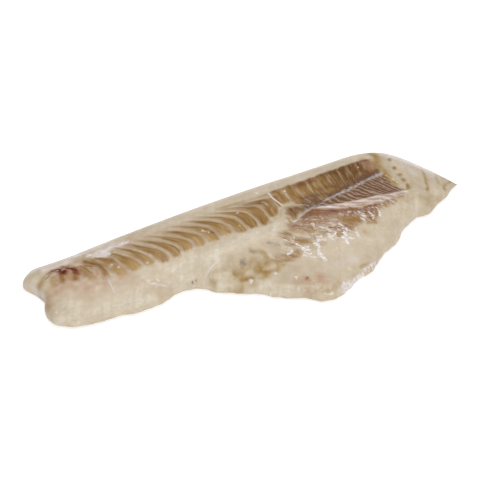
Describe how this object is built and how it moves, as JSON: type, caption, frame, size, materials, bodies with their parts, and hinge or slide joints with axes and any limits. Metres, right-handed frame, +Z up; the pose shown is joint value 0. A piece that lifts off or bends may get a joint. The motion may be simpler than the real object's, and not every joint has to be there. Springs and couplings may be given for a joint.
{
  "type": "skinless cod fillet in clear film",
  "caption": "Raw skinless cod fillet, with a tapering tail, a thick loin and a thin belly flap, sealed tightly in thin clear film and lying flat.",
  "frame": {"origin": "centre of the fillet's bounding box in plan, on the plane of its flat underside", "axes": "+X from the tail to the nape, +Y from the belly edge to the back edge, +Z up, out of the skinned side"},
  "size_m": [0.3968, 0.1572, 0.0302],
  "materials": {
    "cod_flesh": "satin",
    "clear_film": "gloss"
  },
  "bodies": {
    "root": {"cod_fillet": "cod_flesh"}
  },
  "joints": []
}
